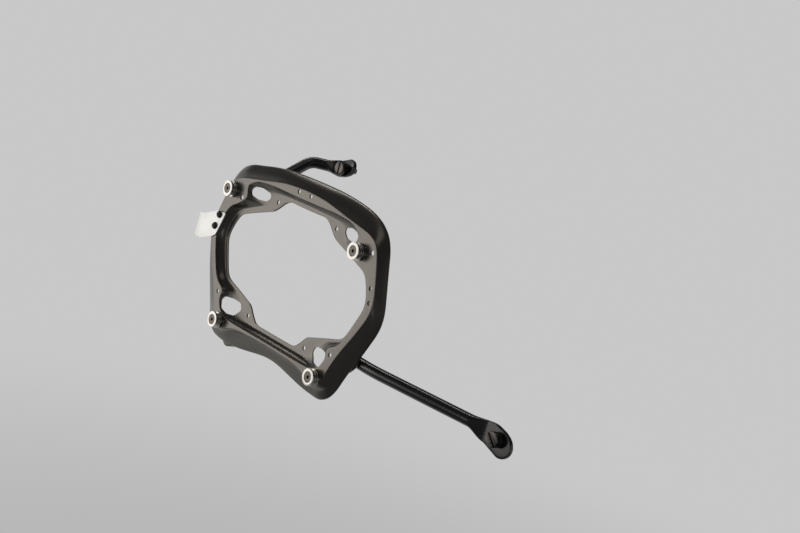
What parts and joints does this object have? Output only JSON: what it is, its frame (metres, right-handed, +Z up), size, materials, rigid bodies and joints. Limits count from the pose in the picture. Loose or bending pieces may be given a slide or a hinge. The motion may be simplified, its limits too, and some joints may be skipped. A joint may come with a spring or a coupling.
{
  "type": "pannier frame",
  "caption": "Side pannier frame: a drawn steel ring with waisted rollers for the pannier, tube strut and arm, and quarter-turn studs that fasten it to a motorcycle",
  "frame": {"origin": "On the axis of the front stud, at the middle of its free tip", "axes": "+X forward on the motorcycle, -Y outboard (the face's side), +Z up; right-hand side"},
  "size_m": [0.7383, 0.13, 0.3426],
  "materials": {
    "shell_black": "fine textured black powder coat",
    "tube_black": "semi-gloss black powder coat",
    "roller_metal": "bright turned",
    "screw_dark": "dark plated",
    "screw_black": "black oxide",
    "nut_zinc": "zinc plated",
    "bracket_steel": "fine brushed stainless",
    "stud_black": "black coated",
    "rubber_black": "matt"
  },
  "bodies": {
    "frame": {"carrier_shell": "shell_black", "strut_bracket": "shell_black", "front_strut": "tube_black", "arm_bracket": "shell_black", "upper_arm": "tube_black", "lower_socket": "shell_black", "reflector_bracket": "bracket_steel", "bracket_screw_upper": "screw_black", "bracket_screw_lower": "screw_black", "bracket_nut_upper": "nut_zinc", "bracket_nut_lower": "nut_zinc", "roller_rear_top": "roller_metal", "roller_screw_rear_top": "screw_dark", "roller_nut_rear_top": "nut_zinc", "roller_front_top": "roller_metal", "roller_screw_front_top": "screw_dark", "roller_nut_front_top": "nut_zinc", "roller_rear_bottom": "roller_metal", "roller_screw_rear_bottom": "screw_dark", "roller_nut_rear_bottom": "nut_zinc", "roller_front_bottom": "roller_metal", "roller_screw_front_bottom": "screw_dark", "roller_nut_front_bottom": "nut_zinc", "front_stud_bush": "rubber_black", "upper_stud_bush": "rubber_black", "lower_stud_bush": "rubber_black"},
    "front_quick_stud": {"front_stud": "stud_black", "front_stud_clip": "nut_zinc"},
    "upper_quick_stud": {"upper_stud": "stud_black", "upper_stud_clip": "nut_zinc"},
    "lower_quick_stud": {"lower_stud": "stud_black", "lower_stud_clip": "nut_zinc"}
  },
  "joints": [
    {"name": "front_stud_turn", "type": "hinge", "parent": "frame", "child": "front_quick_stud", "pos_m": [0, -0.0121, 0], "axis": [0, 1, 0], "range_deg": [0, 90]},
    {"name": "upper_stud_turn", "type": "hinge", "parent": "frame", "child": "upper_quick_stud", "pos_m": [-0.499, 0.0259, 0.25], "axis": [0, 1, 0], "range_deg": [0, 90]},
    {"name": "lower_stud_turn", "type": "hinge", "parent": "frame", "child": "lower_quick_stud", "pos_m": [-0.579, -0.0311, -0.06], "axis": [0, -1, 0], "range_deg": [0, 90]}
  ]
}
